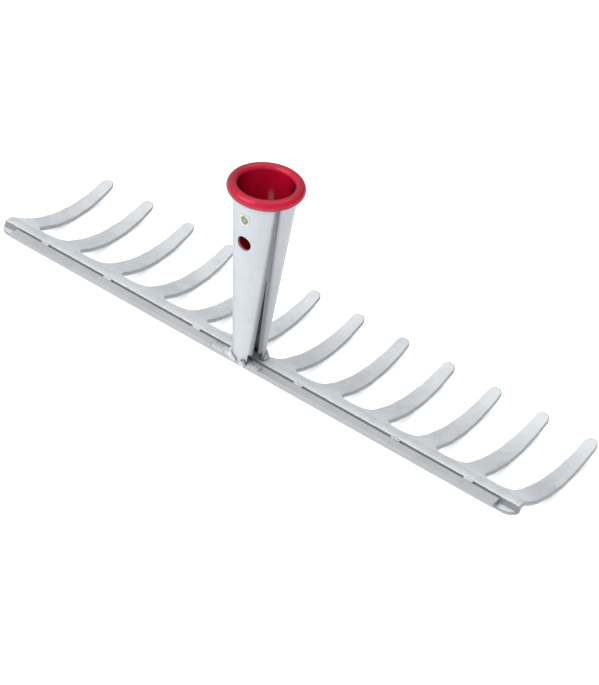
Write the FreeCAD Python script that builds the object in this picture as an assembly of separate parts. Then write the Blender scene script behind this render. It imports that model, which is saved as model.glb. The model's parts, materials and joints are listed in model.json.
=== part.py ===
import FreeCAD, Part
import math
import os

from FreeCAD import Placement, Rotation, Vector

# Head of a level-head garden rake: a twelve-tine comb, a flat backing bar tack
# welded along it, a rolled tapered socket welded on top, and a plastic liner
# with a rounded collar in the socket's mouth.
#
# The shapes are drawn in the comb's frame: X along the comb, Y towards the tine
# tips with zero at the bottom of the gaps, Z up with zero at the comb's top face.
# export() then moves them so that the origin is the centre of the handle bore, the
# short cylindrical land inside the collar.

# Comb, millimetres and degrees
TINE_COUNT = 12
TINE_PITCH = 30.0
SHEET = 2.6
TINE_ROOT_WIDTH = 13.0
TINE_TIP_WIDTH = 7.4
BEND_START_Y = -6.3
BEND_RADIUS = 6.0
ROOT_SLOPE = 34.0
TINE_ARC_RADIUS = 80.0
TIP_SLOPE = 22.5
TOP_STRIP_REAR_Y = -9.3
STEP_FOOT_Y = -9.7
STEP_WALL = 1.9
LEDGE_REAR_Y = -14.4
COMB_CORNER_RADIUS = 6.5

# Backing bar, lying on the comb's stepped-down ledge, its top level with the comb.
# The groove between its front and the comb's step is bridged by short tack welds.
BAR_FRONT_Y = -10.9
BAR_DEPTH = 6.0
BAR_END_GAP = 11.0
BAR_EDGE_RADIUS = 0.5
TACK_X = (34.0, 96.0, 141.0)
TACK_LENGTH = 6.0
TACK_CROWN = 0.35

# Socket, rolled from one tapered blank
SOCKET_AXIS_Y = -8.5
SOCKET_HEIGHT = 102.0
SOCKET_FOOT_RADIUS = 8.5
SOCKET_MOUTH_RADIUS = 16.4
SOCKET_WALL = 1.2
SEAM_AZIMUTH = 61.0
SEAM_GROOVE_DEPTH = 0.8
SEAM_GROOVE_WIDTHS = (4.4, 1.7)
SEAM_SLOT_WIDTHS = (3.4, 0.3)
SEAM_SLOT_HEIGHT = 55.0
FOOT_NOTCH_WIDTH = 8.5
FOOT_NOTCH_HEIGHT = 6.0
SCREW_HOLE_RADIUS = 4.2
SCREW_HOLE_BELOW_MOUTH = 24.5

# Liner
LINER_GAP = 0.05
LINER_WALL = 1.0
LINER_DEPTH = 46.0
COLLAR_HEIGHT = 5.8
COLLAR_RADIUS = 20.0
COLLAR_ROUNDING = 2.9
LAND_DEPTH = 6.6
LAND_LIP = 0.8

# Label, a thin blank sticker on the back of the socket
LABEL_SIZE = 6.2
LABEL_THICKNESS = 0.12
LABEL_GAP = 0.01
LABEL_BELOW_MOUTH = 9.8

# Welds round the socket's foot: height, reach, the hollow of the bead's face as
# shares of reach and height, how far a bead may pass the bar's rear edge, and the
# angles each bead spans, zero at the back and growing to the right
WELD_HEIGHT = 3.2
WELD_REACH = 3.0
WELD_HOLLOW = (0.62, 0.5)
WELD_OVERHANG = 1.2
WELD_SPANS = ((-118.0, -14.0), (6.0, 38.0))

# Half the size of the blocks that trim a shape, larger than anything they trim
TRIM = 30.0

COMB_HALF_LENGTH = (TINE_COUNT - 1) * TINE_PITCH / 2 + TINE_ROOT_WIDTH / 2
SOCKET_TAPER = (SOCKET_MOUTH_RADIUS - SOCKET_FOOT_RADIUS) / SOCKET_HEIGHT
MOUTH_Z = SOCKET_HEIGHT + COLLAR_HEIGHT
ORIGIN_Z = MOUTH_Z - (LAND_LIP + LAND_DEPTH) / 2


def arc(start, middle, end):
    return Part.Arc(start, middle, end).toShape()


def line(start, end):
    return Part.LineSegment(start, end).toShape()


def prism(edges, sweep):
    return Part.Face(Part.Wire(edges)).extrude(sweep)


def on_circle(centre, radius, slope):
    """Point in the Y-Z plane where a circle's upward normal leans by slope."""
    angle = math.radians(slope)
    return Vector(0, centre.y + radius * math.sin(angle), centre.z + radius * math.cos(angle))


def tine_length():
    """Level reach of the tines, from the start of the bend to the tips."""
    bend = BEND_RADIUS * math.sin(math.radians(ROOT_SLOPE))
    sweep = math.sin(math.radians(ROOT_SLOPE)) + math.sin(math.radians(TIP_SLOPE))
    return bend + TINE_ARC_RADIUS * sweep


TIP_Y = BEND_START_Y + tine_length()


def comb_side_profile():
    """Section of the comb through a tine, as edges in the Y-Z plane."""
    half = SHEET / 2
    bend_centre = Vector(0, BEND_START_Y, -half - BEND_RADIUS)
    bend_end = on_circle(bend_centre, BEND_RADIUS, ROOT_SLOPE)
    sweep_centre = on_circle(bend_end, TINE_ARC_RADIUS, ROOT_SLOPE)
    upper_bend = [on_circle(bend_centre, BEND_RADIUS + half, a) for a in (0, ROOT_SLOPE / 2, ROOT_SLOPE)]
    lower_bend = [on_circle(bend_centre, BEND_RADIUS - half, a) for a in (0, ROOT_SLOPE / 2, ROOT_SLOPE)]
    middle = (ROOT_SLOPE - TIP_SLOPE) / 2
    upper_sweep = [on_circle(sweep_centre, half - TINE_ARC_RADIUS, a) for a in (ROOT_SLOPE, middle, -TIP_SLOPE)]
    lower_sweep = [on_circle(sweep_centre, -half - TINE_ARC_RADIUS, a) for a in (ROOT_SLOPE, middle, -TIP_SLOPE)]
    ledge_top_front = Vector(0, STEP_FOOT_Y, -SHEET)
    ledge_top_rear = Vector(0, LEDGE_REAR_Y, -SHEET)
    ledge_low_rear = Vector(0, LEDGE_REAR_Y, -2 * SHEET)
    ledge_low_front = Vector(0, STEP_FOOT_Y + STEP_WALL, -2 * SHEET)
    strip_low_rear = Vector(0, TOP_STRIP_REAR_Y + STEP_WALL, -SHEET)
    strip_top_rear = Vector(0, TOP_STRIP_REAR_Y, 0)
    return [
        line(strip_top_rear, upper_bend[0]),
        arc(*upper_bend),
        arc(*upper_sweep),
        line(upper_sweep[2], lower_sweep[2]),
        arc(*reversed(lower_sweep)),
        arc(*reversed(lower_bend)),
        line(lower_bend[0], strip_low_rear),
        line(strip_low_rear, ledge_low_front),
        line(ledge_low_front, ledge_low_rear),
        line(ledge_low_rear, ledge_top_rear),
        line(ledge_top_rear, ledge_top_front),
        line(ledge_top_front, strip_top_rear),
    ]


def comb_plan():
    """Outline of the comb from above: rounded tines, round-bottomed gaps."""
    root = TINE_ROOT_WIDTH / 2
    taper = (TINE_ROOT_WIDTH - TINE_TIP_WIDTH) / 2 / TIP_Y
    lean = math.atan(taper)
    gap_radius = (TINE_PITCH / 2 - root) / (1 / math.cos(lean) - taper)
    tip_radius = (root - taper * TIP_Y) / (1 / math.cos(lean) - taper)
    tip_side = Vector(tip_radius * math.cos(lean), TIP_Y - tip_radius + tip_radius * math.sin(lean), 0)
    gap_side = Vector(gap_radius * math.cos(lean), gap_radius - gap_radius * math.sin(lean), 0)
    edge = COMB_HALF_LENGTH
    round_off = COMB_CORNER_RADIUS * (1 - math.sqrt(0.5))

    edges = []
    previous = Vector(-edge, 0, 0)
    first_point = previous
    for index in range(TINE_COUNT):
        centre = (index - (TINE_COUNT - 1) / 2) * TINE_PITCH
        left = Vector(centre - tip_side.x, tip_side.y, 0)
        right = Vector(centre + tip_side.x, tip_side.y, 0)
        edges.append(line(previous, left))
        edges.append(arc(left, Vector(centre, TIP_Y, 0), right))
        if index < TINE_COUNT - 1:
            gap = centre + TINE_PITCH / 2
            gap_left = Vector(gap - gap_side.x, gap_side.y, 0)
            gap_right = Vector(gap + gap_side.x, gap_side.y, 0)
            edges.append(line(right, gap_left))
            edges.append(arc(gap_left, Vector(gap, 0, 0), gap_right))
            previous = gap_right
        else:
            previous = Vector(edge, 0, 0)
            edges.append(line(right, previous))
    corner_start = Vector(edge, LEDGE_REAR_Y + COMB_CORNER_RADIUS, 0)
    corner_middle = Vector(edge - round_off, LEDGE_REAR_Y + round_off, 0)
    corner_end = Vector(edge - COMB_CORNER_RADIUS, LEDGE_REAR_Y, 0)

    def mirrored(point):
        return Vector(-point.x, point.y, 0)

    edges.append(line(previous, corner_start))
    edges.append(arc(corner_start, corner_middle, corner_end))
    edges.append(line(corner_end, mirrored(corner_end)))
    edges.append(arc(mirrored(corner_end), mirrored(corner_middle), mirrored(corner_start)))
    edges.append(line(mirrored(corner_start), first_point))
    return edges


def tine_comb():
    """One pressed sheet: the tines, the strip they grow from and the ledge behind it."""
    side = prism(comb_side_profile(), Vector(2 * COMB_HALF_LENGTH + 2, 0, 0))
    side.translate(Vector(-COMB_HALF_LENGTH - 1, 0, 0))
    plan = prism(comb_plan(), Vector(0, 0, 2 * TRIM))
    plan.translate(Vector(0, 0, -TRIM))
    return side.common(plan)


def back_bar():
    """Square-ended flat bar on the ledge."""
    length = 2 * (COMB_HALF_LENGTH - BAR_END_GAP)
    corner = Vector(-length / 2, BAR_FRONT_Y - BAR_DEPTH, -SHEET)
    bar = Part.makeBox(length, BAR_DEPTH, SHEET, corner)
    long_top_edges = [e for e in bar.Edges if e.BoundBox.XLength > 1 and e.BoundBox.ZMin > -SHEET / 2]
    return bar.makeFillet(BAR_EDGE_RADIUS, long_top_edges)


def bar_tack_welds():
    """Small beads in the groove between the bar and the comb's stepped edge."""
    section = Part.makePolygon([
        Vector(0, BAR_FRONT_Y, -SHEET),
        Vector(0, STEP_FOOT_Y, -SHEET),
        Vector(0, TOP_STRIP_REAR_Y, 0),
        Vector(0, (BAR_FRONT_Y + TOP_STRIP_REAR_Y) / 2, TACK_CROWN),
        Vector(0, BAR_FRONT_Y, -BAR_EDGE_RADIUS),
        Vector(0, BAR_FRONT_Y, -SHEET),
    ])
    beads = []
    for distance in TACK_X:
        for side in (-1, 1):
            bead = Part.Face(section).extrude(Vector(TACK_LENGTH, 0, 0))
            bead.translate(Vector(side * distance - TACK_LENGTH / 2, 0, 0))
            beads.append(bead)
    return Part.makeCompound(beads)


def cone(foot_radius, height, start):
    """Frustum round the socket's axis with the socket's taper, from height start."""
    base = Vector(0, SOCKET_AXIS_Y, start)
    return Part.makeCone(foot_radius, foot_radius + SOCKET_TAPER * height, height, base)


def outer_radius(height):
    """Outer radius of the socket at a height above the comb's top face."""
    return SOCKET_FOOT_RADIUS + SOCKET_TAPER * height


def seam_wedge(depth, height, widths):
    """Wedge up the seam from the foot: cut depth, height, widths at the foot and the top."""
    sections = []
    for width, z in zip(widths, (0, height)):
        near = outer_radius(z) - depth
        far = outer_radius(z) + SOCKET_WALL
        corners = [
            Vector(near, -width / 2, z),
            Vector(far, -width / 2, z),
            Vector(far, width / 2, z),
            Vector(near, width / 2, z),
        ]
        sections.append(Part.makePolygon(corners + corners[:1]))
    wedge = Part.makeLoft(sections, True, True)
    wedge.Placement = Placement(Vector(0, SOCKET_AXIS_Y, 0), Rotation(Vector(0, 0, 1), SEAM_AZIMUTH - 90))
    return wedge


def screw_hole():
    """Cylinder that pierces the back of the socket and of the liner."""
    start = Vector(0, SOCKET_AXIS_Y, SOCKET_HEIGHT - SCREW_HOLE_BELOW_MOUTH)
    return Part.makeCylinder(SCREW_HOLE_RADIUS, 2 * SOCKET_MOUTH_RADIUS, start, Vector(0, -1, 0))


def handle_socket():
    """Rolled cone with its seam closed at the mouth and parted towards the foot."""
    outside = cone(SOCKET_FOOT_RADIUS, SOCKET_HEIGHT, 0)
    inside = cone(SOCKET_FOOT_RADIUS - SOCKET_WALL, SOCKET_HEIGHT, 0)
    shell = outside.cut(inside)
    groove = seam_wedge(SEAM_GROOVE_DEPTH, SOCKET_HEIGHT, SEAM_GROOVE_WIDTHS)
    slot = seam_wedge(SOCKET_FOOT_RADIUS / 2, SEAM_SLOT_HEIGHT, SEAM_SLOT_WIDTHS)
    notch = Part.makeBox(SOCKET_FOOT_RADIUS, FOOT_NOTCH_WIDTH, FOOT_NOTCH_HEIGHT,
                         Vector(SOCKET_FOOT_RADIUS / 2, -FOOT_NOTCH_WIDTH / 2, 0))
    notch.Placement = Placement(Vector(0, SOCKET_AXIS_Y, 0), Rotation(Vector(0, 0, 1), SEAM_AZIMUTH - 90))
    return shell.cut(groove).cut(slot).cut(notch).cut(screw_hole())


def socket_insert():
    """Liner: rounded collar over the socket's rim, land for the handle, tapered sleeve."""
    rim = MOUTH_Z
    gap = SOCKET_WALL + LINER_GAP
    sleeve_mouth = SOCKET_MOUTH_RADIUS - gap
    sleeve_end = sleeve_mouth - SOCKET_TAPER * LINER_DEPTH
    land = sleeve_mouth - LINER_WALL
    bore_end = land - SOCKET_TAPER * (COLLAR_HEIGHT + LINER_DEPTH - LAND_DEPTH)
    low = SOCKET_HEIGHT + LINER_GAP
    round_part = COLLAR_ROUNDING * (1 - math.sqrt(0.5))
    lip_part = LAND_LIP * (1 - math.sqrt(0.5))

    def at(radius, height):
        return Vector(radius, 0, height)

    outline = [
        line(at(land, rim - LAND_LIP), at(land, rim - LAND_DEPTH)),
        line(at(land, rim - LAND_DEPTH), at(bore_end, SOCKET_HEIGHT - LINER_DEPTH)),
        line(at(bore_end, SOCKET_HEIGHT - LINER_DEPTH), at(sleeve_end, SOCKET_HEIGHT - LINER_DEPTH)),
        line(at(sleeve_end, SOCKET_HEIGHT - LINER_DEPTH), at(sleeve_mouth, low)),
        line(at(sleeve_mouth, low), at(COLLAR_RADIUS - COLLAR_ROUNDING, low)),
        arc(at(COLLAR_RADIUS - COLLAR_ROUNDING, low), at(COLLAR_RADIUS - round_part, low + round_part),
            at(COLLAR_RADIUS, low + COLLAR_ROUNDING)),
        line(at(COLLAR_RADIUS, low + COLLAR_ROUNDING), at(COLLAR_RADIUS, rim - COLLAR_ROUNDING)),
        arc(at(COLLAR_RADIUS, rim - COLLAR_ROUNDING), at(COLLAR_RADIUS - round_part, rim - round_part),
            at(COLLAR_RADIUS - COLLAR_ROUNDING, rim)),
        line(at(COLLAR_RADIUS - COLLAR_ROUNDING, rim), at(land + LAND_LIP, rim)),
        arc(at(land + LAND_LIP, rim), at(land + lip_part, rim - lip_part), at(land, rim - LAND_LIP)),
    ]
    face = Part.Face(Part.Wire(outline))
    liner = face.revolve(Vector(0, 0, 0), Vector(0, 0, 1), 360)
    liner.translate(Vector(0, SOCKET_AXIS_Y, 0))
    return liner.cut(screw_hole())


def socket_foot_welds():
    """Fillet beads round the foot, on top of the bar and the comb's top strip."""
    section = Part.makePolygon([
        Vector(SOCKET_FOOT_RADIUS, 0, 0),
        Vector(SOCKET_FOOT_RADIUS + WELD_REACH, 0, 0),
        Vector(SOCKET_FOOT_RADIUS + WELD_REACH * WELD_HOLLOW[0], 0, WELD_HEIGHT * WELD_HOLLOW[1]),
        Vector(outer_radius(WELD_HEIGHT), 0, WELD_HEIGHT),
        Vector(SOCKET_FOOT_RADIUS, 0, 0),
    ])
    keep_rear = BAR_FRONT_Y - BAR_DEPTH - WELD_OVERHANG
    keep = Part.makeBox(2 * TRIM, 2 * TRIM, TRIM, Vector(-TRIM, keep_rear, 0))
    beads = []
    for start, end in WELD_SPANS:
        bead = Part.Face(section).revolve(Vector(0, 0, 0), Vector(0, 0, 1), end - start)
        bead.Placement = Placement(Vector(0, SOCKET_AXIS_Y, 0), Rotation(Vector(0, 0, 1), start - 90))
        beads.append(bead.common(keep))
    return Part.makeCompound([solid for bead in beads for solid in bead.Solids])


def label():
    """Square sticker wrapped on the socket's back."""
    low = SOCKET_HEIGHT - LABEL_BELOW_MOUTH - LABEL_SIZE / 2
    outside = cone(SOCKET_FOOT_RADIUS + LABEL_GAP + LABEL_THICKNESS, SOCKET_HEIGHT, 0)
    inside = cone(SOCKET_FOOT_RADIUS + LABEL_GAP, SOCKET_HEIGHT, 0)
    window = Part.makeBox(LABEL_SIZE, TRIM, LABEL_SIZE, Vector(-LABEL_SIZE / 2, SOCKET_AXIS_Y - TRIM, low))
    return outside.cut(inside).common(window)


def export(name, shape):
    """Check a sub-part, move it to the part's frame and write it."""
    moved = shape.copy()
    moved.Placement = Placement(Vector(0, -SOCKET_AXIS_Y, -ORIGIN_Z), Rotation()).multiply(moved.Placement)
    assert moved.isValid(), name
    moved.exportStep("parts/" + name + ".step")
    box = moved.BoundBox
    print(name, len(moved.Solids), round(moved.Volume), "mm3",
          [round(v, 2) for v in (box.XMin, box.YMin, box.ZMin, box.XMax, box.YMax, box.ZMax)])


os.makedirs("parts", exist_ok=True)
for make in (tine_comb, back_bar, bar_tack_welds, handle_socket, socket_insert, socket_foot_welds, label):
    export(make.__name__, make())
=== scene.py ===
import json
import math

import bmesh
import bpy
from mathutils import Matrix, Vector, noise


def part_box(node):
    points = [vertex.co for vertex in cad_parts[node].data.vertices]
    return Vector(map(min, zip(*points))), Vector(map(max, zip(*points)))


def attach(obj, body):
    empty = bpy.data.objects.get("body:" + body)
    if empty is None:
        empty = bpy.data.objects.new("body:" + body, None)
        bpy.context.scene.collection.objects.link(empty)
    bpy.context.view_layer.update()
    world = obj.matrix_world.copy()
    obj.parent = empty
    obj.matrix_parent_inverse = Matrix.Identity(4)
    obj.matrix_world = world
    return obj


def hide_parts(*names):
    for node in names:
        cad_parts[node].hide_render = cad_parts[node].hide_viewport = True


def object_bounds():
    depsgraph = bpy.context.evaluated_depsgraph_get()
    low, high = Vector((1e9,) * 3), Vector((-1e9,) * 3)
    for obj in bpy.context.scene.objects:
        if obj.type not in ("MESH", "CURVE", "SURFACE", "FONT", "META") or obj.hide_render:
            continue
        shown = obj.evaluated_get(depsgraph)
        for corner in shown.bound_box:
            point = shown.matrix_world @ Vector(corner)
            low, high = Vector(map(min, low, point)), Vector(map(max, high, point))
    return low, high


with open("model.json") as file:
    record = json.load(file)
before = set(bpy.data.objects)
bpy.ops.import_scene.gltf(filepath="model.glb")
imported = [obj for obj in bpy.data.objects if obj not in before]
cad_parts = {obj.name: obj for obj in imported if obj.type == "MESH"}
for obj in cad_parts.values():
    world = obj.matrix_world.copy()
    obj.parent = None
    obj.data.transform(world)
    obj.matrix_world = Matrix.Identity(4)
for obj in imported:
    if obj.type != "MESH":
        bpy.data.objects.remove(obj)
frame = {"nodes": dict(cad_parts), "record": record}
cad_low, cad_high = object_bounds()
nodes = frame["nodes"]
MM = 0.001

# Object: the socket's cone and seam, and the two round holes from the record
SOCKET_FOOT_RADIUS = 8.5 * MM
SEAM_AZIMUTH = 61.0
LINER_WALL = 1.0 * MM
GROOVE_WIDTH = 1.6 * MM
socket_low, socket_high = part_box("handle_socket")
SOCKET_TAPER = (socket_high.x - SOCKET_FOOT_RADIUS) / (socket_high.z - socket_low.z)
BORE_MOUNT, SCREW_MOUNT = [m for m in frame["record"]["mounts"] if m["kind"] == "bore"]

# Camera: where it looks, from which side, how far off, in metres and degrees
AIM = Vector((0.0342, -0.0053, -0.0750))
CAMERA_AZIMUTH = 33.6
CAMERA_ELEVATION = 37.1
CAMERA_ROLL = 6.9
CAMERA_DISTANCE = 1.263
LENS = 131.4

# Foot beads: first and last angle, zero at the back and growing to the right, and height
FOOT_BEADS = ((-150, -8, 1.6 * MM), (8, 28, 1.6 * MM), (96, 212, 2.2 * MM))
# The comb's sheet starts to bend down this far ahead of the socket's axis, and the
# front bead sags by this share of the distance past that
BEND_AHEAD = 2.2 * MM
BEND_SAG = 0.17
# Runs along the bar: which side of the foot and how long
BAR_RUNS = ((-1, 15 * MM), (1, 8 * MM))


def towards(azimuth, elevation):
    """Unit vector that points from the object to a viewer at these angles."""
    a, e = math.radians(azimuth), math.radians(elevation)
    return Vector((math.sin(a) * math.cos(e), -math.cos(a) * math.cos(e), math.sin(e)))


def make_camera():
    back = towards(CAMERA_AZIMUTH, CAMERA_ELEVATION)
    level = Vector((math.cos(math.radians(CAMERA_AZIMUTH)), math.sin(math.radians(CAMERA_AZIMUTH)), 0))
    upright = back.cross(level)
    roll = math.radians(CAMERA_ROLL)
    across = level * math.cos(roll) + upright * math.sin(roll)
    up = back.cross(across)
    data = bpy.data.cameras.new("camera")
    data.lens = LENS
    data.sensor_width = 36.0
    camera = bpy.data.objects.new("camera", data)
    bpy.context.scene.collection.objects.link(camera)
    turn = Matrix((across, up, back)).transposed().to_4x4()
    camera.matrix_world = Matrix.Translation(AIM + back * CAMERA_DISTANCE) @ turn
    bpy.context.scene.camera = camera


def area_light(name, azimuth, elevation, distance, size, power):
    data = bpy.data.lights.new(name, "AREA")
    data.shape = "DISK"
    data.size = size
    data.energy = power
    light = bpy.data.objects.new(name, data)
    bpy.context.scene.collection.objects.link(light)
    back = towards(azimuth, elevation)
    light.location = back * distance
    light.rotation_mode = "QUATERNION"
    light.rotation_quaternion = back.to_track_quat("Z", "Y")


def make_lights():
    """Bright soft room: white from the camera's left and above, greyer on the right."""
    area_light("key", -30.0, 45.0, 1.6, 1.4, 11.0)
    area_light("overhead", -150.0, 75.0, 1.8, 1.8, 5.0)
    world = bpy.data.worlds.new("studio")
    bpy.context.scene.world = world
    world.use_nodes = True
    tree = world.node_tree
    tree.nodes.clear()
    direction = tree.nodes.new("ShaderNodeTexCoord")
    side = tree.nodes.new("ShaderNodeVectorMath")
    side.operation = "DOT_PRODUCT"
    side.inputs[1].default_value = towards(-45.0, 40.0)
    ramp = tree.nodes.new("ShaderNodeValToRGB")
    ramp.color_ramp.elements[0].position = 0.0
    ramp.color_ramp.elements[0].color = (0.16, 0.17, 0.19, 1)
    ramp.color_ramp.elements[1].position = 0.75
    ramp.color_ramp.elements[1].color = (1, 1, 1, 1)
    background = tree.nodes.new("ShaderNodeBackground")
    background.inputs["Strength"].default_value = 0.74
    output = tree.nodes.new("ShaderNodeOutputWorld")
    shift = tree.nodes.new("ShaderNodeMath")
    shift.operation = "MULTIPLY_ADD"
    shift.inputs[1].default_value = 0.5
    shift.inputs[2].default_value = 0.5
    tree.links.new(direction.outputs["Generated"], side.inputs[0])
    tree.links.new(side.outputs["Value"], shift.inputs[0])
    tree.links.new(shift.outputs[0], ramp.inputs["Fac"])
    tree.links.new(ramp.outputs["Color"], background.inputs["Color"])
    tree.links.new(background.outputs[0], output.inputs["Surface"])
    bpy.context.scene.view_settings.view_transform = "Standard"


class Shader:
    """A material's node tree, with short ways to add and join nodes."""

    def __init__(self, name):
        self.material = bpy.data.materials.new(name)
        self.material.use_nodes = True
        self.tree = self.material.node_tree
        self.surface = self.tree.nodes["Principled BSDF"]
        self.place = self.tree.nodes.new("ShaderNodeTexCoord").outputs["Object"]

    def join(self, source, target):
        self.tree.links.new(source, target)

    def stretched(self, scale):
        mapping = self.tree.nodes.new("ShaderNodeMapping")
        mapping.inputs["Scale"].default_value = scale
        self.join(self.place, mapping.inputs["Vector"])
        return mapping.outputs["Vector"]

    def noise(self, scale, detail=4.0, vector=None):
        node = self.tree.nodes.new("ShaderNodeTexNoise")
        node.inputs["Scale"].default_value = scale
        node.inputs["Detail"].default_value = detail
        self.join(vector or self.place, node.inputs["Vector"])
        return node.outputs["Fac"]

    def cells(self, scale):
        node = self.tree.nodes.new("ShaderNodeTexVoronoi")
        node.inputs["Scale"].default_value = scale
        self.join(self.place, node.inputs["Vector"])
        grey = self.tree.nodes.new("ShaderNodeRGBToBW")
        self.join(node.outputs["Color"], grey.inputs["Color"])
        return grey.outputs["Val"]

    def remap(self, value, low, high, new_low, new_high):
        node = self.tree.nodes.new("ShaderNodeMapRange")
        node.inputs["From Min"].default_value = low
        node.inputs["From Max"].default_value = high
        node.inputs["To Min"].default_value = new_low
        node.inputs["To Max"].default_value = new_high
        self.join(value, node.inputs["Value"])
        return node.outputs["Result"]

    def math(self, operation, first, second):
        node = self.tree.nodes.new("ShaderNodeMath")
        node.operation = operation
        for index, value in enumerate((first, second)):
            if isinstance(value, (int, float)):
                node.inputs[index].default_value = value
            else:
                self.join(value, node.inputs[index])
        return node.outputs[0]

    def mix(self, factor, first, second, blend="MIX"):
        node = self.tree.nodes.new("ShaderNodeMix")
        node.data_type = "RGBA"
        node.blend_type = blend
        colour_a = [s for s in node.inputs if s.name == "A" and s.type == "RGBA"][0]
        colour_b = [s for s in node.inputs if s.name == "B" and s.type == "RGBA"][0]
        for socket, value in ((node.inputs[0], factor), (colour_a, first), (colour_b, second)):
            if isinstance(value, (int, float)):
                socket.default_value = value
            elif isinstance(value, tuple):
                socket.default_value = value + (1.0,)
            else:
                self.join(value, socket)
        return [s for s in node.outputs if s.type == "RGBA"][0]

    def level(self):
        """How level the surface is: 1 facing straight up or down, 0 upright."""
        geometry = self.tree.nodes.new("ShaderNodeNewGeometry")
        split = self.tree.nodes.new("ShaderNodeSeparateXYZ")
        self.join(geometry.outputs["Normal"], split.inputs[0])
        return self.math("ABSOLUTE", split.outputs["Z"], 0.0)

    def band(self, low, high, fade):
        """1 where Y is between low and high, 0 outside, with a soft uneven border."""
        split = self.tree.nodes.new("ShaderNodeSeparateXYZ")
        self.join(self.place, split.inputs[0])
        waver = self.remap(self.noise(300.0, 3.0), 0.3, 0.7, -1.0, 1.0)
        uneven = self.math("MULTIPLY", waver, fade * 0.5)
        y = self.math("ADD", split.outputs["Y"], uneven)
        above = self.remap(y, low - fade, low, 0.0, 1.0)
        below = self.remap(y, high, high + fade, 1.0, 0.0)
        return self.math("MULTIPLY", above, below)

    def seam(self, azimuth, heights, half_widths, fade):
        """1 along a seam up a cone round the Z axis, as wide as given at two heights."""
        angle = math.radians(azimuth)
        outward = self.along((math.sin(angle), -math.cos(angle), 0.0))
        sideways = self.along((math.cos(angle), math.sin(angle), 0.0))
        split = self.tree.nodes.new("ShaderNodeSeparateXYZ")
        self.join(self.place, split.inputs[0])
        half_width = self.remap(split.outputs["Z"], heights[0], heights[1], half_widths[0], half_widths[1])
        beyond = self.math("SUBTRACT", self.math("ABSOLUTE", sideways, 0.0), half_width)
        near_seam = self.remap(beyond, 0.0, fade, 1.0, 0.0)
        return self.math("MULTIPLY", near_seam, self.math("GREATER_THAN", outward, 0.0))

    def along(self, way):
        """Distance from the origin measured along a unit vector."""
        dot = self.tree.nodes.new("ShaderNodeVectorMath")
        dot.operation = "DOT_PRODUCT"
        dot.inputs[1].default_value = way
        self.join(self.place, dot.inputs[0])
        return dot.outputs["Value"]

    def facing(self):
        """0 where the surface faces the viewer, 1 where it is seen edge on."""
        weight = self.tree.nodes.new("ShaderNodeLayerWeight")
        weight.inputs["Blend"].default_value = 0.5
        return weight.outputs["Facing"]

    # Ambient occlusion, used to paint shade into crevices and corners.
    def crevice_shade(self, distance):
        node = self.tree.nodes.new("ShaderNodeAmbientOcclusion")
        node.inputs["Distance"].default_value = distance
        node.samples = 8
        return node.outputs["AO"]

    def bump(self, height, strength, distance):
        node = self.tree.nodes.new("ShaderNodeBump")
        node.inputs["Strength"].default_value = strength
        node.inputs["Distance"].default_value = distance
        self.join(height, node.inputs["Height"])
        self.join(node.outputs["Normal"], self.surface.inputs["Normal"])


def zinc(name, pale, dull, grain, roughness=0.50, metallic=0.5, edges=0.0, joint=None, seam=None):
    """Galvanised steel: spangle, cloudy tone, drawing lines, painted shade in crevices.

    edges darkens upright faces, such as the side faces of a flat sheet, with painted shade. joint is a (low,
    high) pair of Y in metres between which a band of painted shade darkens the surface along the groove, seam
    the azimuth, heights, half widths and fade of a band of painted shade along the open rolled seam up a
    cone.
    """
    shader = Shader(name)
    clouds = shader.noise(38.0, 5.0)
    spangle = shader.cells(210.0)
    lines = shader.noise(900.0, 3.0, shader.stretched(grain))
    speck = shader.noise(2600.0, 2.0)
    tone = shader.math("ADD", shader.math("MULTIPLY", clouds, 0.55), shader.math("MULTIPLY", spangle, 0.25))
    tone = shader.math("ADD", tone, shader.math("MULTIPLY", lines, 0.30))
    colour = shader.mix(shader.remap(tone, 0.30, 0.75, 0.0, 1.0), dull, pale)
    # Painted shade: the colour is darkened in crevices and corners, where less light reaches.
    shade = shader.remap(shader.crevice_shade(4.0 * MM), 0.15, 0.85, 0.28, 1.0)
    colour = shader.mix(1.0, colour, shade, "MULTIPLY")
    rough = shader.math("ADD", shader.math("MULTIPLY", lines, 0.16), shader.math("MULTIPLY", spangle, 0.08))
    rough = shader.math("ADD", rough, roughness - 0.12)
    # Painted shade: upright faces, such as the side faces of the tines and the bar, are darkened as if turned
    # from the light.
    if edges:
        upright = shader.remap(shader.level(), 0.80, 0.45, 0.0, edges)
        colour = shader.mix(upright, colour, (0.27, 0.29, 0.31))
    shader.surface.inputs["Metallic"].default_value = metallic
    # Painted shade: a dark band along the groove behind the bar, or along the socket's open seam, stands in
    # for the shadow inside it; the band is also rougher and less metallic.
    if joint or seam:
        painted_shade_band = shader.band(joint[0], joint[1], 0.35 * MM) if joint else shader.seam(*seam)
        colour = shader.mix(painted_shade_band, colour, (0.30, 0.315, 0.335))
        rough = shader.math("ADD", rough, shader.math("MULTIPLY", painted_shade_band, 0.3))
        shader.join(shader.remap(painted_shade_band, 0.0, 1.0, metallic, 0.1), shader.surface.inputs["Metallic"])
    shader.join(colour, shader.surface.inputs["Base Color"])
    shader.join(rough, shader.surface.inputs["Roughness"])
    height = shader.math("ADD", shader.math("MULTIPLY", lines, 0.6), shader.math("MULTIPLY", speck, 0.4))
    shader.bump(height, 0.25, 0.15 * MM)
    return shader.material


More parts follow.
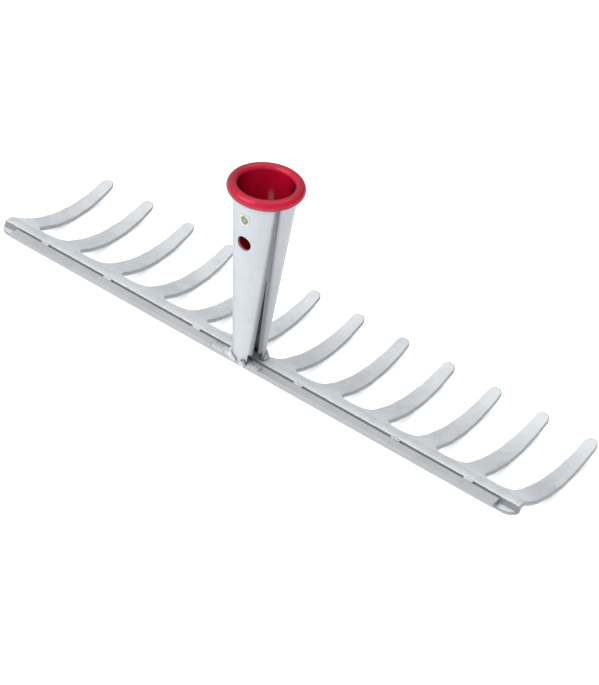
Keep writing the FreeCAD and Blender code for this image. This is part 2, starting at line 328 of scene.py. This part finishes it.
def red_plastic():
    """Glossy moulded plastic, crimson, faintly uneven, with painted shade in the bore and on flanks seen edge
    on.
    """
    shader = Shader("red_plastic")
    clouds = shader.noise(60.0, 3.0)
    grain = shader.noise(900.0, 3.0)
    colour = shader.mix(shader.remap(clouds, 0.35, 0.7, 0.0, 1.0), (0.54, 0.004, 0.030), (0.64, 0.007, 0.045))
    # Painted shade: darker in the bore and in crevices, from ambient occlusion.
    shade = shader.remap(shader.crevice_shade(8.0 * MM), 0.1, 0.8, 0.35, 1.0)
    colour = shader.mix(1.0, colour, shade, "MULTIPLY")
    # Painted shade: the colour is darkened where the surface is seen edge on, as on the collar's flanks.
    colour = shader.mix(shader.remap(shader.facing(), 0.25, 0.70, 0.0, 0.9), colour, (0.20, 0.002, 0.012))
    shader.join(colour, shader.surface.inputs["Base Color"])
    shader.join(shader.remap(grain, 0.3, 0.7, 0.12, 0.18), shader.surface.inputs["Roughness"])
    shader.surface.inputs["Specular IOR Level"].default_value = 0.36
    shader.bump(grain, 0.05, 0.03 * MM)
    return shader.material


def floor_material():
    shader = Shader("floor_paint")
    clouds = shader.noise(3.0, 2.0)
    colour = shader.mix(clouds, (0.97, 0.97, 0.97), (0.98, 0.98, 0.98))
    shader.join(colour, shader.surface.inputs["Base Color"])
    shader.surface.inputs["Roughness"].default_value = 0.9
    shader.surface.inputs["Specular IOR Level"].default_value = 0.1
    shader.join(colour, shader.surface.inputs["Emission Color"])
    shader.surface.inputs["Emission Strength"].default_value = 0.45
    return shader.material


def paint(name, material):
    for slot in nodes[name].material_slots:
        slot.material = material


def make_floor():
    mesh = bpy.data.meshes.new("floor")
    shape = bmesh.new()
    bmesh.ops.create_grid(shape, x_segments=8, y_segments=8, size=9.0)
    shape.to_mesh(mesh)
    shape.free()
    floor = bpy.data.objects.new("floor", mesh)
    bpy.context.scene.collection.objects.link(floor)
    floor.location = (0, 0, cad_low.z - 0.0002)
    mesh.materials.append(floor_material())


def round_edges(name, voxel, passes):
    """Rebuilds a pressed or cast CAD node as an even mesh and softens its cut edges."""
    node = nodes[name]
    weld = node.modifiers.new("weld", "WELD")
    weld.merge_threshold = 0.01 * MM
    remesh = node.modifiers.new("remesh", "REMESH")
    remesh.mode = "VOXEL"
    remesh.voxel_size = voxel
    remesh.use_smooth_shade = True
    smooth = node.modifiers.new("smooth", "SMOOTH")
    smooth.factor = 0.5
    smooth.iterations = passes


def bevel_edges(name, width):
    """Breaks the sharp edges of a cut sheet or bar."""
    node = nodes[name]
    weld = node.modifiers.new("weld", "WELD")
    weld.merge_threshold = 0.01 * MM
    bevel = node.modifiers.new("bevel", "BEVEL")
    bevel.width = width
    bevel.segments = 2
    bevel.limit_method = "ANGLE"
    bevel.angle_limit = math.radians(40)
    bevel.harden_normals = True


def add_piece(name, shape, material, replaced):
    """Turns a bmesh into a smooth-shaded piece that stands for one CAD node."""
    bmesh.ops.recalc_face_normals(shape, faces=shape.faces)
    mesh = bpy.data.meshes.new(name)
    shape.to_mesh(mesh)
    shape.free()
    mesh.shade_smooth()
    mesh.materials.append(material)
    piece = bpy.data.objects.new(name, mesh)
    bpy.context.scene.collection.objects.link(piece)
    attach(piece, "root")
    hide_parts(replaced)
    return piece


def lathe(shape, outline, segments):
    """Closed ring of quads: the outline of (radius, height) pairs turned about Z."""
    rings = []
    for index in range(segments):
        turn = 2 * math.pi * index / segments
        rings.append([shape.verts.new((r * math.cos(turn), r * math.sin(turn), z)) for r, z in outline])
    count = len(outline)
    for index in range(segments):
        here, there = rings[index], rings[(index + 1) % segments]
        for corner in range(count):
            after = (corner + 1) % count
            shape.faces.new((here[corner], there[corner], there[after], here[after]))


def rounded(centre_r, centre_z, radius_r, radius_z, start, end, steps):
    """Points on an ellipse from one angle to another, in degrees from outwards to upwards."""
    points = []
    for index in range(steps + 1):
        angle = math.radians(start + (end - start) * index / steps)
        points.append((centre_r + radius_r * math.cos(angle), centre_z + radius_z * math.sin(angle)))
    return points


def run(start, end, steps):
    """Evenly spaced points from start up to but not including end."""
    return [tuple(a + (b - a) * i / steps for a, b in zip(start, end)) for i in range(steps)]


def make_liner():
    """Red liner: collar as a full round bead with a fine parting line, and tapered sleeve."""
    low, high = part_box("socket_insert")
    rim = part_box("handle_socket")[1].z
    collar = high.x
    bore = BORE_MOUNT["dims"]["r_mm"] * MM
    bead_low = rim + 0.05 * MM
    middle_z = (bead_low + high.z) / 2
    half = (high.z - bead_low) / 2
    drop = SOCKET_TAPER * (rim - low.z)
    outer_top = bore + LINER_WALL - 0.05 * MM
    outer_end = bore + LINER_WALL - drop
    crown = collar - 3.1 * MM
    outline = rounded(crown, middle_z, collar - crown, half, -90, -6, 14)
    outline += [(collar, middle_z - 0.16 * MM), (collar, middle_z + 0.16 * MM)]
    outline += rounded(crown, middle_z, collar - crown - 0.07 * MM, half, 6, 90, 14)
    outline += rounded(bore + 2.6 * MM, high.z - 2.6 * MM, 2.6 * MM, 2.6 * MM, 90, 180, 10)[1:]
    outline += run((bore, high.z - 3.0 * MM), (bore - drop * 0.93, low.z), 24)[1:]
    outline += [(bore - drop * 0.93, low.z + 0.2 * MM), (bore - drop * 0.93 + 0.3 * MM, low.z)]
    outline += run((outer_end, low.z + 0.1 * MM), (outer_top, bead_low), 24)
    outline += [(outer_top, bead_low)]
    shape = bmesh.new()
    lathe(shape, outline, 168)
    piece = add_piece("liner", shape, red_plastic(), "socket_insert")
    drill(piece, SCREW_MOUNT)


def drill(piece, mount):
    """Cuts a mount's round hole through a piece and keeps the result as its mesh."""
    cutter_shape = bmesh.new()
    bmesh.ops.create_cone(cutter_shape, cap_ends=True, segments=64, depth=0.02,
                          radius1=mount["dims"]["r_mm"] * MM, radius2=mount["dims"]["r_mm"] * MM)
    cutter_mesh = bpy.data.meshes.new("cutter")
    cutter_shape.to_mesh(cutter_mesh)
    cutter_shape.free()
    cutter = bpy.data.objects.new("cutter", cutter_mesh)
    bpy.context.scene.collection.objects.link(cutter)
    cutter.rotation_mode = "QUATERNION"
    cutter.rotation_quaternion = Vector(mount["axis"]).to_track_quat("Z", "Y")
    cutter.location = Vector(mount["pos_m"])
    cut = piece.modifiers.new("drill", "BOOLEAN")
    cut.operation = "DIFFERENCE"
    cut.solver = "EXACT"
    cut.object = cutter
    graph = bpy.context.evaluated_depsgraph_get()
    cut_mesh = bpy.data.meshes.new_from_object(piece.evaluated_get(graph))
    piece.modifiers.clear()
    piece.data = cut_mesh
    bpy.data.objects.remove(cutter)


def weld_bead(shape, path, width, height, ripple, seed):
    """Lumpy rippled bead along a path of points, tapered to rounded ends."""
    sides = 16
    count = len(path)
    rings = []
    for index, centre in enumerate(path):
        before = path[max(index - 1, 0)]
        after = path[min(index + 1, count - 1)]
        along = (after - before).normalized()
        across = along.cross(Vector((0, 0, 1))).normalized()
        share = index / (count - 1)
        end = math.sqrt(max(1 - abs(2 * share - 1) ** 5, 0.0))
        wave = 1 + 0.13 * math.cos(ripple * math.pi * share * 2)
        ring = []
        for side in range(sides):
            turn = 2 * math.pi * side / sides
            offset = across * math.cos(turn) * width / 2 + Vector((0, 0, 1)) * math.sin(turn) * height
            spot = centre + offset * wave * (0.15 + 0.85 * end)
            lump = noise.noise(spot * 420 + Vector((seed, 0, 0))) * 0.24 + noise.noise(spot * 1100) * 0.08
            ring.append(shape.verts.new(centre + (spot - centre) * (1 + lump)))
        rings.append(ring)
    for here, there in zip(rings, rings[1:]):
        for side in range(sides):
            after = (side + 1) % sides
            shape.faces.new((here[side], here[after], there[after], there[side]))
    shape.faces.new(rings[0])
    shape.faces.new(rings[-1])


def make_foot_welds():
    """Beads round the foot, sagging onto the bent sheet in front, and runs along the bar."""
    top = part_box("back_bar")[1].z
    bar_low, bar_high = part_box("back_bar")
    bar_middle = (bar_low.y + bar_high.y) / 2
    shape = bmesh.new()
    reach = SOCKET_FOOT_RADIUS + 0.5 * MM
    for seed, (start, end, height) in enumerate(FOOT_BEADS):
        steps = int(abs(end - start) / 1.5)
        path = []
        for index in range(steps + 1):
            turn = math.radians(start + (end - start) * index / steps)
            forward = -reach * math.cos(turn)
            sag = BEND_SAG * max(0.0, forward - BEND_AHEAD)
            path.append(Vector((reach * math.sin(turn), forward, top + 0.3 * MM - sag)))
        weld_bead(shape, path, 3.4 * MM, height, abs(end - start) / 11, seed * 7.3)
    for side, length in BAR_RUNS:
        near = SOCKET_FOOT_RADIUS * 0.55
        path = []
        for index in range(41):
            along = side * (near + length * index / 40)
            path.append(Vector((along, bar_middle - 0.4 * MM, top + 0.1 * MM)))
        weld_bead(shape, path, 5.4 * MM, 1.2 * MM, length / MM / 2.2, 3.1 + side)
    add_piece("foot_weld_beads", shape, weld_zinc, "socket_foot_welds")


def make_tack_welds():
    """Short lumpy tacks in the groove between bar and comb, one for each CAD bead."""
    low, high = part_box("bar_tack_welds")
    groove_y = (low.y + high.y) / 2
    starts = sorted({round(v.co.x, 5) for v in nodes["bar_tack_welds"].data.vertices})
    shape = bmesh.new()
    for seed, (start, end) in enumerate(zip(starts[0::2], starts[1::2])):
        path = []
        for index in range(25):
            path.append(Vector((start + (end - start) * index / 24, groove_y, high.z - 0.75 * MM)))
        weld_bead(shape, path, 2.0 * MM, 0.7 * MM, 3, seed * 5.7)
    add_piece("tack_weld_beads", shape, weld_zinc, "bar_tack_welds")


def cone_radius(z):
    """Outer radius of the socket at a height."""
    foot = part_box("handle_socket")[0].z
    return SOCKET_FOOT_RADIUS + SOCKET_TAPER * (z - foot)


def sticker_material(middle):
    """Pale film with an abstract round mark in two muted tones."""
    shader = Shader("sticker_film")
    tree = shader.tree
    offset = tree.nodes.new("ShaderNodeVectorMath")
    offset.operation = "SUBTRACT"
    offset.inputs[1].default_value = middle
    shader.join(shader.place, offset.inputs[0])
    flat = tree.nodes.new("ShaderNodeVectorMath")
    flat.operation = "MULTIPLY"
    flat.inputs[1].default_value = (1.0, 0.0, 1.0)
    shader.join(offset.outputs[0], flat.inputs[0])
    length = tree.nodes.new("ShaderNodeVectorMath")
    length.operation = "LENGTH"
    shader.join(flat.outputs[0], length.inputs[0])
    distance = length.outputs["Value"]
    wobble = shader.math("MULTIPLY", shader.noise(420.0, 2.0), 0.9 * MM)
    edge = shader.math("ADD", distance, wobble)
    disc = shader.remap(edge, 2.55 * MM, 2.85 * MM, 1.0, 0.0)
    core = shader.remap(edge, 1.35 * MM, 1.65 * MM, 1.0, 0.0)
    colour = shader.mix(disc, (0.60, 0.64, 0.55), (0.13, 0.15, 0.075))
    colour = shader.mix(core, colour, (0.36, 0.27, 0.20))
    wear = shader.remap(shader.noise(900.0, 3.0), 0.3, 0.7, 0.0, 0.18)
    colour = shader.mix(wear, colour, (0.75, 0.76, 0.74))
    shader.join(colour, shader.surface.inputs["Base Color"])
    shader.join(shader.remap(shader.noise(1500.0), 0.3, 0.7, 0.32, 0.46), shader.surface.inputs["Roughness"])
    shader.bump(shader.noise(700.0, 3.0), 0.15, 0.05 * MM)
    return shader.material


def make_sticker():
    """Thin film wrapped on the socket's back, its corners rounded and just lifting."""
    low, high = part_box("label")
    middle = (low + high) / 2
    half_x, half_z = (high.x - low.x) / 2, (high.z - low.z) / 2
    steps = 24
    shape = bmesh.new()
    layers = []
    for thickness in (0.02 * MM, 0.12 * MM):
        grid = []
        for row in range(steps + 1):
            line = []
            for column in range(steps + 1):
                u, v = 2 * column / steps - 1, 2 * row / steps - 1
                x = half_x * u * math.sqrt(1 - 0.10 * v ** 6)
                z = middle.z + half_z * v * math.sqrt(1 - 0.10 * u ** 6)
                lift = 0.10 * MM * (u * v) ** 4
                radius = cone_radius(z) + thickness + lift
                line.append(shape.verts.new((x, -math.sqrt(radius ** 2 - x ** 2), z)))
            grid.append(line)
        layers.append(grid)
    inner, outer = layers
    for row in range(steps):
        for column in range(steps):
            for grid in layers:
                shape.faces.new((grid[row][column], grid[row][column + 1],
                                 grid[row + 1][column + 1], grid[row + 1][column]))
    rim = [(0, i) for i in range(steps)] + [(i, steps) for i in range(steps)]
    rim += [(steps, steps - i) for i in range(steps)] + [(steps - i, 0) for i in range(steps)]
    for (a, b), (c, d) in zip(rim, rim[1:] + rim[:1]):
        shape.faces.new((inner[a][b], inner[c][d], outer[c][d], outer[a][b]))
    add_piece("sticker", shape, sticker_material(middle), "label")


make_camera()
make_lights()
make_floor()
bar_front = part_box("back_bar")[1].y
groove_front = bar_front + GROOVE_WIDTH
# The joint bands on comb and bar and the seam band on the socket are painted shade in the groove and the
# seam.
comb_zinc = zinc("comb_zinc", (0.76, 0.80, 0.82), (0.60, 0.64, 0.67), (1.0, 0.05, 0.3), edges=0.85,
                 joint=(bar_front - 0.3 * MM, groove_front - 0.1 * MM))
bar_zinc = zinc("bar_zinc", (0.60, 0.62, 0.63), (0.50, 0.52, 0.53), (0.04, 1.0, 1.0), edges=0.5,
                joint=(bar_front - 0.35 * MM, groove_front))
socket_zinc = zinc("socket_zinc", (0.59, 0.62, 0.65), (0.50, 0.53, 0.57), (1.0, 1.0, 0.04),
                   seam=(SEAM_AZIMUTH, (socket_low.z, socket_high.z), (2.8 * MM, 0.6 * MM), 1.8 * MM))
weld_zinc = zinc("weld_zinc", (0.84, 0.85, 0.86), (0.36, 0.38, 0.40), (1.0, 1.0, 1.0), 0.36)
paint("tine_comb", comb_zinc)
paint("back_bar", bar_zinc)
paint("handle_socket", socket_zinc)
make_liner()
make_foot_welds()
make_tack_welds()
make_sticker()

round_edges("tine_comb", 0.55 * MM, 5)
bevel_edges("back_bar", 0.25 * MM)
bevel_edges("handle_socket", 0.1 * MM)
